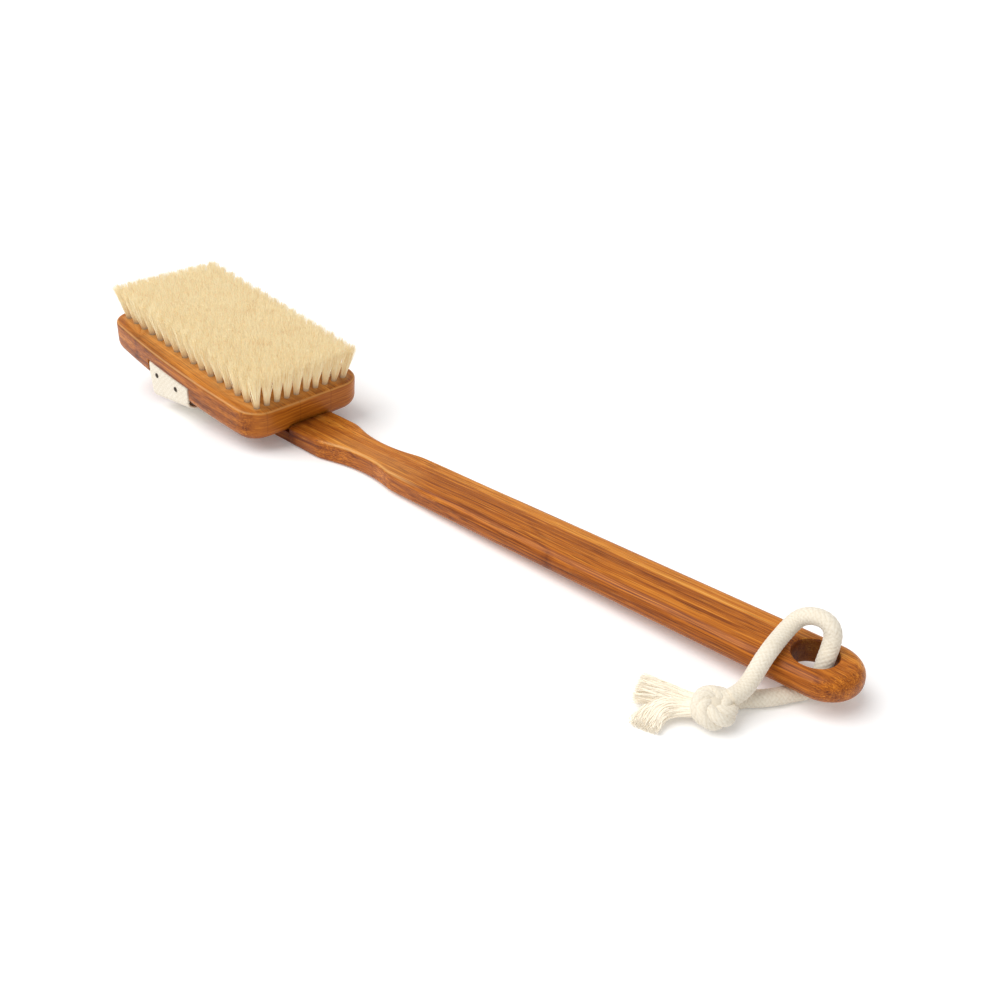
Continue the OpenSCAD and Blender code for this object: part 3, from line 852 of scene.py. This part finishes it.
ang = 2 * math.pi * np.arange(72) / 72
tool_v = np.array([on_grip(np.stack([247.8 + hole_radius(z) * np.cos(ang), hole_radius(z) * np.sin(ang), np.full(72, z)], -1)) for z in zs])
m = len(zs)
i, k = np.meshgrid(np.arange(m - 1), np.arange(72), indexing="ij")
k2 = (k + 1) % 72
tool = mesh_object("tool", tool_v.reshape(-1, 3), [
    np.stack([i * 72 + k, i * 72 + k2, (i + 1) * 72 + k2, (i + 1) * 72 + k], -1).reshape(-1, 4),
    np.arange(72)[::-1][None], ((m - 1) * 72 + np.arange(72))[None]], smooth=False)
fix_normals(tool)
cut(handle, tool)


def dovetail(a, b, d, below):
    return np.array([[0, -a, -below], [0, a, -below], [0, a, 0], [0, b, d], [0, -b, d], [0, -a, 0]], float)


def along_u(u0, u1):
    def place(o, end):
        q = o.copy()
        q[:, 0] = u1 if end else u0
        return on_head(q)
    return place


rider = prism_tool("rider", np.array([[-79.0, 0, 0.0], [-101.0, 0, 0.0], [-131.0, 0, 13.2], [-131.0, 0, 30.0], [-79.0, 0, 30.0]]),
                   lambda o, end: o + np.array([0, 11.8 if end else -11.8, 0]))
fix_normals(rider)
cut(rider, box_tool("t", (-46, -30, -30), (1.2, 30, -0.2), on_head), "INTERSECT")
fix_normals(handle)
cut(handle, rider, "UNION")
tongue = prism_tool("tongue", dovetail(10, 12, 3.9, 1.0), along_u(-46.0, 1.0))
fix_normals(tongue)
cut(handle, tongue, "UNION")
fix_normals(handle)
sharpen(handle, 38)


def mark_painted_light(ob, painted_edge_highlight, painted_shade, faces=None):
    """Mark the painted highlight on the edges and the painted shade, from each vertex's place in mm and its normal.
    faces marks whole faces as painted shade instead, from their middles."""
    me = ob.data
    n = len(me.vertices)
    co, no = np.empty(n * 3), np.empty(n * 3)
    me.vertices.foreach_get("co", co)
    me.vertices.foreach_get("normal", no)
    co, no = co.reshape(-1, 3) / MM, no.reshape(-1, 3)
    a = me.attributes.new("painted_edge_highlight", "FLOAT", "POINT")
    a.data.foreach_set("value", np.clip(painted_edge_highlight(co, no), 0, 1).astype(np.float32))
    loops = np.empty(len(me.loops), np.int32)
    me.loops.foreach_get("vertex_index", loops)
    dark = np.clip(painted_shade(co, no), 0, 1)[loops]
    if faces is not None:
        mid, nf = np.empty(len(me.polygons) * 3), np.empty(len(me.polygons) * 3)
        count = np.empty(len(me.polygons), np.int32)
        me.polygons.foreach_get("center", mid)
        me.polygons.foreach_get("normal", nf)
        me.polygons.foreach_get("loop_total", count)
        dark = np.maximum(dark, np.repeat(np.clip(faces(mid.reshape(-1, 3) / MM, nf.reshape(-1, 3)), 0, 1), count))
    r = me.attributes.new("painted_shade", "FLOAT", "CORNER")
    r.data.foreach_set("value", dark.astype(np.float32))


def handle_edge_highlight(co, no):
    # painted highlight along the near upper edge of the waist, where the surface turns up towards the light
    up = np.exp(-((no[:, 2] - 0.72) / 0.22) ** 2)
    along = smoothstep(-62, -48, co[:, 0]) * (1 - smoothstep(-8, 16, co[:, 0]))
    return up * along * (no[:, 1] < 0)


def handle_painted_shade(co, no):
    # painted shade where the plate runs under the head, deeper on the near side
    near = 0.55 + 0.45 * (1 - smoothstep(-6, 12, co[:, 1]))
    out = smoothstep(-86.5, -83.5, co[:, 0])
    return out * ((1 - smoothstep(-82.5, -77.0, co[:, 0])) * near * 0.8 + (1 - smoothstep(-80.0, -52.0, co[:, 0])) * near * 0.60)


def handle_bore_shade(mid, no):
    # painted shade on the drilled wall of the hanging hole
    hub = on_grip(np.array([[247.8, 0.0, HALF_T]]))[0]
    away = np.hypot(mid[:, 0] - hub[0], mid[:, 1] - hub[1])
    return (away < 8.35) * (np.abs(no[:, 2]) < 0.75) * 1.0


mark_painted_light(handle, handle_edge_highlight, handle_painted_shade, handle_bore_shade)
GRAIN_HANDLE = (0.0, SLOPE, 0.0)
# the bands set the strips' tones across the handle, with painted shade on the near side and painted light on the far
# side
WOOD_HANDLE = bamboo("handle_bamboo_varnished", GRAIN_HANDLE, 9.0, 1.5, (92.0,), bands=[
    (0.0, 0.0), (0.14, 0.02), (0.26, 0.30), (0.30, 0.12), (0.44, 0.30), (0.50, 0.12), (0.60, 0.28), (0.63, 0.85), (0.84, 0.95), (0.90, 0.55), (1.0, 0.5)])
WOOD_HEAD = bamboo("head_bamboo_varnished", (0.0, -PITCH, 0.0), 19.0, 6.0, (-178.0,), 0.97, ends=True)
dress(handle, WOOD_HANDLE, "handle", "handle_bamboo", "handle")

# ---------------------------------------------------------------- head block

HEAD_L = 134.0
HALF_MID = 37.5
BOW = 3.6
BOW_R = ((HEAD_L / 2) ** 2 + BOW ** 2) / (2 * BOW)


def head_outline(n=420):
    """Plan of the block: bowed long sides, faintly rounded ends, soft corners."""
    r = 12.5
    u_c = HEAD_L / 2 - r
    side_at = lambda u: HALF_MID - u ** 2 / (2 * BOW_R)
    # corner circle tangent to the end and to the bowed side
    v_c = side_at(u_c) - r * 1.0
    pts = []
    for u in np.linspace(-u_c, u_c, 160):
        pts.append((u, side_at(u)))
    for t in np.linspace(0, math.pi / 2, 40)[1:]:
        pts.append((u_c + r * math.sin(t), v_c + r * math.cos(t)))
    for w in np.linspace(v_c, 0, 60)[1:]:
        pts.append((HEAD_L / 2 - 0.0 * w, w))
    q = np.array(pts)
    quarter2 = q[160 - 1:, :]
    right = q[80:]
    # mirror into the full loop
    top = np.array(pts)
    right_half = np.concatenate([top[80:], (top[80:] * [1, -1])[::-1][1:]])
    left_half = (right_half * [-1, -1])[1:-1] if False else (right_half * [-1, 1])[::-1][1:-1]
    loop = np.concatenate([right_half, left_half])
    # even spacing, then a little smoothing so that arcs and lines flow together
    closed = np.concatenate([loop, loop[:1]])
    s = np.concatenate([[0], np.cumsum(np.linalg.norm(np.diff(closed, axis=0), axis=1))])
    at = np.linspace(0, s[-1], n, endpoint=False)
    loop = np.stack([np.interp(at, s, closed[:, j]) for j in range(2)], -1)
    step = s[-1] / n
    k = np.arange(-12, 13) * step
    g = np.exp(-(k / 1.5) ** 2 / 2)
    g /= g.sum()
    wrap = np.concatenate([loop[-12:], loop, loop[:12]])
    loop = np.stack([np.convolve(wrap[:, j], g, mode="valid") for j in range(2)], -1)
    loop[:, 0] -= HEAD_L / 2
    return loop


def head_mesh():
    loop = head_outline()
    n = len(loop)
    t = np.roll(loop, -1, axis=0) - np.roll(loop, 1, axis=0)
    t /= np.linalg.norm(t, axis=1)[:, None]
    nrm = np.stack([t[:, 1], -t[:, 0]], -1)
    mid = np.array([-HEAD_L / 2, 0])
    if ((loop - mid) * nrm).sum() < 0:
        nrm = -nrm
    low_r = 6.0 + 2.0 * nrm[:, 0] ** 2
    hi_r = 1.5
    rings = []
    def ring(inset, w):
        inset = np.broadcast_to(np.asarray(inset, float), (n,))
        w = np.broadcast_to(np.asarray(w, float), (n,))
        q = loop - nrm * inset[:, None]
        rings.append(np.stack([q[:, 0], q[:, 1], w], -1))
    ring(low_r + 0.6, 0.0)
    for a in np.linspace(0, math.pi / 2, 12):
        ring(low_r * (1 - math.sin(a)), low_r * (1 - math.cos(a)))
    for f in (0.33, 0.66):
        ring(0.0, low_r + (HEAD_T - hi_r - low_r) * f)
    for a in np.linspace(math.pi / 2, 0, 8):
        ring(hi_r * (1 - math.sin(a)), HEAD_T - hi_r * (1 - math.cos(a)))
    ring(hi_r + 0.5, HEAD_T)
    v = np.concatenate(rings)
    m = len(rings)
    i, k = np.meshgrid(np.arange(m - 1), np.arange(n), indexing="ij")
    k2 = (k + 1) % n
    quads = np.stack([i * n + k, i * n + k2, (i + 1) * n + k2, (i + 1) * n + k], -1).reshape(-1, 4)
    return on_head(v), [quads, np.arange(n)[::-1][None], ((m - 1) * n + np.arange(n))[None]]


def head_up():
    return on_head([0, 0, 1.0]) - on_head([0, 0, 0.0])


v, polys = head_mesh()
head = mesh_object("bamboo_head_block", v, polys)
fix_normals(head)

# tufts: the same places and lean as in the CAD
ROWS, ACROSS, FIELD = 16, 10, 52.8
ROW_PITCH = (134 - 7.2 - 7.6) / (ROWS - 1)
TUFT_PITCH = FIELD / (ACROSS - 1)
BRISTLE_H = 18.8
HOLE_DEPTH = 8.0


def group_tufts(i):
    long = [(-7.2 - i * ROW_PITCH, -FIELD / 2 + k * TUFT_PITCH) for k in range(ACROSS)]
    short = [(-7.2 - (i + 0.5) * ROW_PITCH, -FIELD / 2 + (k + 0.5) * TUFT_PITCH) for k in range(ACROSS - 1)]
    return long + (short if i < ROWS - 1 else [])


def tuft_axes(u, v):
    cu = (u + 67) / 60
    cv = v / (FIELD / 2)
    lu = math.atan(2.6 * cu * abs(cu) / BRISTLE_H)
    lv = math.atan(2.6 * cv * abs(cv) / BRISTLE_H)
    turn = Matrix.Rotation(lu, 3, "Y") @ Matrix.Rotation(-lv, 3, "X")
    return np.array(turn)


def on_tuft(uv, p):
    return on_head(np.asarray(p) @ tuft_axes(*uv).T + np.array([uv[0], uv[1], HEAD_T]))


ang = 2 * math.pi * np.arange(20) / 20
parts = []
for i in range(ROWS):
    for uv in group_tufts(i):
        q = [on_tuft(uv, np.stack([1.6 * np.cos(ang), 1.6 * np.sin(ang), np.full(20, h)], -1)) for h in (-HOLE_DEPTH, 1.0)]
        k = np.arange(20)
        parts.append((np.concatenate(q), [np.stack([k, (k + 1) % 20, 20 + (k + 1) % 20, 20 + k], -1), k[::-1][None], (20 + k)[None]]))
vv, pp = joined(parts)
cut(head, mesh_object("tool", vv, pp, smooth=False))
groove = prism_tool("groove", dovetail(10.2, 12.25, 4.1, 3.0), along_u(-47.0, 5.0))
fix_normals(groove)
cut(head, groove)
for s in (-1, 1):
    y0, y1 = sorted((s * 34.0, s * 44.0))
    t = box_tool("t", (-90.6, y0, -1), (-51.6 + 0.2, y1, 10.7), on_head)
    fix_normals(t)
    cut(head, t)
    for u in (-82.5, -64.5):
        c = 0.72
        a16 = 2 * math.pi * np.arange(20) / 20
        o = np.stack([u + c * np.cos(a16), np.zeros(20), 4.4 + c * np.sin(a16)], -1)
        t = prism_tool("t", o, lambda o, end, s=s: on_head(o + np.array([0, s * (35.8 if end else 23.8), 0])))
        fix_normals(t)
        cut(head, t)
fix_normals(head)
sharpen(head, 38)
up = head_up() / np.linalg.norm(head_up())
# painted highlight along the block's rounded edges, and no painted shade
mark_painted_light(head, lambda co, no: np.exp(-((no @ up - 0.72) / 0.2) ** 2) * 0.8, lambda co, no: np.zeros(len(co)))
dress(head, WOOD_HEAD, "head", "head_bamboo", "head_block")

# ---------------------------------------------------------------- bristles

BRISTLE = bristle_material()
STRANDS = 180


def tuft_strands(uv):
    n = STRANDS
    d = np.sqrt((np.arange(n) + 0.5) / n)
    th = np.arange(n) * 2.39996 + RNG.uniform(0, 6.28)
    rx, ry = 1.20 * d * np.cos(th), 1.20 * d * np.sin(th)
    rx += RNG.normal(0, 0.05, n)
    ry += RNG.normal(0, 0.05, n)
    grow = 2.20 + 0.20 * RNG.normal(0, 1, n)
    tx = rx * grow * 1.10 + RNG.normal(0, 0.85, n)
    ty = ry * grow * 1.02 + RNG.normal(0, 0.80, n)
    top = BRISTLE_H - 0.1 + RNG.normal(0.0, 0.42, n) - 0.9 * (RNG.random(n) < 0.14) * RNG.random(n) * 4
    top += 1.3 * (RNG.random(n) < 0.05) * RNG.random(n)
    f = np.array([0.0, 0.28, 0.55, 0.8, 1.0])
    bend = RNG.normal(0, 0.22, (n, 2))
    w = -1.2 + (top[:, None] + 1.2) * f
    e = f ** 1.42
    x = rx[:, None] + (tx - rx)[:, None] * e + bend[:, :1] * np.sin(math.pi * f)
    y = ry[:, None] + (ty - ry)[:, None] * e + bend[:, 1:] * np.sin(math.pi * f)
    # in the hole the strands stay packed
    p = np.stack([x, y, w], -1)
    return on_tuft(uv, p), f


for i in range(ROWS):
    P, tone = [], []
    for uv in group_tufts(i):
        p, f = tuft_strands(uv)
        P.append(p)
        tuft_tone = RNG.normal(0, 0.06)
        tone.append(np.clip(RNG.beta(2.2, 1.6, len(p)) + tuft_tone, 0, 1))
    P = np.concatenate(P)
    tone = np.concatenate(tone)
    n = len(P)
    thick = RNG.uniform(0.085, 0.135, n)
    R = thick[:, None] * np.array([1.0, 1.0, 0.92, 0.78, 0.42])
    v, quads, caps = many_tubes(P, R, 3, on_head([0, 1.0, 0]) - on_head([0, 0, 0.0]))
    along = np.repeat(np.tile(f, n), 3)
    ob = mesh_object(f"bristles_{i + 1:02d}", v, [quads, caps],
                     attrs={"along": along, "tone": np.repeat(tone, len(f) * 3)})
    dress(ob, BRISTLE, "head", "bristle", f"tuft_row_{i + 1:02d}")

# ---------------------------------------------------------------- hand strap

STRAP_T = 1.4


def strap_line():
    """Mid line of the webbing's tab on one side of the brush, from the inner leg's end up over the fold and down the
    outer leg: (y, height) pairs, with how far each point belongs to the head (1) or hangs free (0)."""
    inner, outer = 34.85, 36.28
    pts, own = [], []
    for w in np.linspace(2.0, 8.5, 15):
        pts.append((inner, w)); own.append(1.0)
    for a in np.linspace(0, math.pi, 13)[1:-1]:
        pts.append(((inner + outer) / 2 - (outer - inner) / 2 * math.cos(a), 8.5 + 0.72 * math.sin(a))); own.append(1.0)
    for w in np.linspace(8.5, 1.6, 16):
        pts.append((outer, w)); own.append(1.0)
    return np.array(pts), np.array(own)


def strap_mesh():
    wide = 36.4
    us = np.linspace(0, 1, 74)                  # across the webbing's width
    tab, own = strap_line()
    # the free run under the back, in the row frame: a slack trough, level along its width
    rows = []
    leg = 36.28
    for fu in us:
        u = -89.9 + wide * fu
        low_z = 6.0 + 3.3 * fu                  # the slack run hangs lower on its far edge
        cz = 10.0 + 3.2 * fu
        # nailed part, which leans with the head
        a = on_head(np.stack([np.full(len(tab), u), tab[:, 0], tab[:, 1]], -1))
        x_free = -171.8 + 35.4 * fu
        start_z = a[-1, 2]
        corner = []
        for t in np.linspace(0, 90, 22):
            tt = math.radians(t)
            corner.append([x_free, leg - 6.6 + 6.6 * math.cos(tt), cz - (cz - low_z) * math.sin(tt)])
        corner = np.array(corner)
        # down from the tab to the corner, with the slant running out
        z_from, z_to = start_z, cz
        n_down = 10
        k = np.linspace(0, 1, n_down + 1)[1:-1]
        e = k * k * (3 - 2 * k)
        down = np.stack([a[-1, 0] + (x_free - a[-1, 0]) * e, np.full(len(k), leg) + 0 * k, z_from + (z_to - z_from) * k], -1)
        y = np.linspace(leg - 6.6, 0, 42)[1:]
        belly = np.stack([np.full(len(y), x_free), y, np.full(len(y), low_z)], -1)
        half = np.concatenate([a, down, corner, belly])
        other = half[:-1][::-1] * np.array([1, -1, 1])
        rows.append(np.concatenate([half, other]))
    return np.array(rows)                       # (across, along, 3)


grid = strap_mesh()
# even spacing along, so that the weave is even
fine_rows = []
for row in grid:
    s = np.concatenate([[0], np.cumsum(np.linalg.norm(np.diff(row, axis=0), axis=1))])
    at = np.linspace(0, s[-1], 401)
    fine_rows.append(np.stack([np.interp(at, s, row[:, j]) for j in range(3)], -1))
grid = np.array(fine_rows)
STRAP_LEN = float(np.linalg.norm(np.diff(grid[37], axis=0), axis=1).sum())
na, nl = grid.shape[:2]
# normals of the webbing's mid sheet
du = np.gradient(grid, axis=0)
dl = np.gradient(grid, axis=1)
nrm = np.cross(du, dl)
nrm /= np.linalg.norm(nrm, axis=2)[..., None]
A, L = np.meshgrid(np.linspace(0, 1, na), np.linspace(0, STRAP_LEN, nl), indexing="ij")
# weave relief: warp ribs along the strap, weft crossing them, and a firm edge
warp = A * 36.4 / 1.65
weft = L / 1.45
over = (np.floor(warp) + np.floor(weft)) % 2 == 0
ridge = np.where(over, np.abs(np.sin(math.pi * warp)) ** 0.6, np.abs(np.sin(math.pi * weft)) ** 0.8 * 0.55)
edge = np.minimum(A, 1 - A) * 36.4
thick = STRAP_T / 2 * (1 - 0.30 * np.exp(-(edge / 0.9) ** 2))
relief = 0.16 * (ridge - 0.6) + 0.04 * RNG.normal(0, 1, ridge.shape)
front = grid + nrm * (thick + relief)[..., None]
backs = grid - nrm * (thick + relief)[..., None]
idx = np.arange(na * nl).reshape(na, nl)


def sheet_quads(ix, flip):
    q = np.stack([ix[:-1, :-1], ix[1:, :-1], ix[1:, 1:], ix[:-1, 1:]], -1).reshape(-1, 4)
    return q[:, ::-1] if flip else q


N = na * nl
border = np.concatenate([idx[0, :-1], idx[:-1, -1], idx[-1, :0:-1], idx[:0:-1, 0]])
nxt = np.roll(border, -1)
rim_q = np.stack([border, nxt, N + nxt, N + border], -1)
# low marks the weave's valleys for the painted shade in the cotton
strap = mesh_object("webbing_strap", np.concatenate([front.reshape(-1, 3), backs.reshape(-1, 3)]),
                    [sheet_quads(idx, False), sheet_quads(N + idx, True), rim_q],
                    attrs={"low": np.concatenate([np.clip(0.9 - ridge, 0, 1).ravel()] * 2)})
bm = bmesh.new()
bm.from_mesh(strap.data)
bmesh.ops.recalc_face_normals(bm, faces=bm.faces)
bm.to_mesh(strap.data)
bm.free()
dress(strap, COTTON, "head", "strap_webbing", "hand_strap")

# ---------------------------------------------------------------- nails and wires

NAIL = steel_material("nail_steel_dark", lin(74, 68, 62), 0.42, 0.5)
WIRE = steel_material("anchor_wire_steel", lin(176, 172, 166), 0.35, 0.15)


def nail_at(u, s):
    prof = [(0.0, -13.0), (0.25, -12.4), (0.68, -11.2), (0.70, -6.0), (0.70, -0.05), (0.78, 0.02), (1.22, 0.03), (1.31, 0.10),
            (1.30, 0.20), (1.18, 0.36), (0.95, 0.50), (0.62, 0.61), (0.30, 0.67), (0.0, 0.69)]
    n = 32
    a = 2 * math.pi * np.arange(n) / n
    rings = []
    for r, h in prof[1:-1]:
        wob = 1 + 0.02 * np.sin(3 * a + u) if h > 0 else 1 + 0 * a
        rings.append(np.stack([u + r * wob * np.cos(a), np.full(n, s * (37.0 + h)), 4.4 + r * wob * np.sin(a)], -1))
    v = np.concatenate(rings + [np.array([[u, s * (37.0 - 13.0), 4.4], [u, s * (37.0 + 0.69), 4.4]])])
    m = len(rings)
    i, k = np.meshgrid(np.arange(m - 1), np.arange(n), indexing="ij")
    k2 = (k + 1) % n
    q = np.stack([i * n + k, i * n + k2, (i + 1) * n + k2, (i + 1) * n + k], -1).reshape(-1, 4)
    k = np.arange(n)
    c = np.concatenate([np.stack([np.full(n, m * n), (k + 1) % n, k], -1),
                        np.stack([np.full(n, m * n + 1), (m - 1) * n + k, (m - 1) * n + (k + 1) % n], -1)])
    return on_head(v), [q, c]


v, polys = joined([nail_at(u, s) for s in (-1, 1) for u in (-82.5, -64.5)])
nails = mesh_object("strap_nails_domed", v, polys)
fix_normals(nails)
sharpen(nails, 40)
dress(nails, NAIL, "head", "nail", "strap_nails")

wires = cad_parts["anchor_wires"]
wires.data.materials.clear()
wires.data.materials.append(WIRE)

# ---------------------------------------------------------------- floor and light

m = Mat("floor_paper", 0.8)
m.p.inputs["Specular IOR Level"].default_value = 0.1
m.p.inputs["Emission Color"].default_value = (1.0, 1.0, 1.0, 1.0)
m.p.inputs["Emission Strength"].default_value = 0.12
tint = m.noise(m.obj(), 0.01, 2.0)
m.put(m.ramp(tint, [(0.3, (0.90, 0.90, 0.90, 1)), (0.7, (0.93, 0.93, 0.93, 1))]), m.p.inputs["Base Color"])
s = 9000.0
floor = mesh_object("floor", np.array([[-s, -s, 0], [s, -s, 0], [s, s, 0], [-s, s, 0]], float), [np.array([[0, 1, 2, 3]])], smooth=False)
floor.location.z = -0.00005
floor.data.materials.append(m.m)
floor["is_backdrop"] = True

world = bpy.data.worlds.new("studio")
world.use_nodes = True
world.node_tree.nodes["Background"].inputs["Color"].default_value = (1.0, 1.0, 1.0, 1)
world.node_tree.nodes["Background"].inputs["Strength"].default_value = 0.58
SCENE.world = world


def sun(name, towards, strength, angle):
    """Even soft light over the whole floor, from the direction towards."""
    d = bpy.data.lights.new(name, "SUN")
    d.energy, d.angle = strength, math.radians(angle)
    o = bpy.data.objects.new(name, d)
    SCENE.collection.objects.link(o)
    o.rotation_euler = Vector(towards).to_track_quat("Z", "Y").to_euler()
    return o


sun("key", (-0.5, -0.68, 1.3), 2.34, 54)
SCENE.view_settings.view_transform = "Standard"

# ---------------------------------------------------------------- size

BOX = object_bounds()
plain = lambda b: [[float(x) for x in p] for p in b]
{"cad": plain(CAD_BOX), "visual": plain(BOX)}
